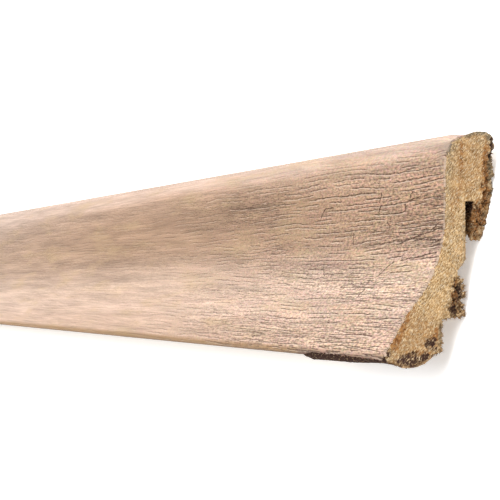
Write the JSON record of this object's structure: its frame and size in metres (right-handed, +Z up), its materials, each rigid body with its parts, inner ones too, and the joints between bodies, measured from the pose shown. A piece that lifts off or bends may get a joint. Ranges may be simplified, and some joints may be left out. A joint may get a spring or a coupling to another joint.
{
  "type": "skirting board",
  "caption": "Low wood-decor skirting board: fibreboard moulding with a hollow-swept face, slanting toe and hooked back for wall clips, wrapped in printed foil.",
  "frame": {"origin": "centre of the board's outline seen from above, on the surface it lies on", "axes": "as it lies on a level surface, decor face up: +X along the board to the end that the picture shows, +Y across it towards the crest, +Z up"},
  "size_m": [2.4, 0.0436, 0.0143],
  "materials": {
    "fibreboard": "raw sawn fibreboard, dark and torn along the milled back",
    "decor_foil": "printed and embossed oak decor, matt"
  },
  "bodies": {
    "root": {"fibreboard_core": "fibreboard", "decor_foil": "decor_foil"}
  },
  "joints": []
}
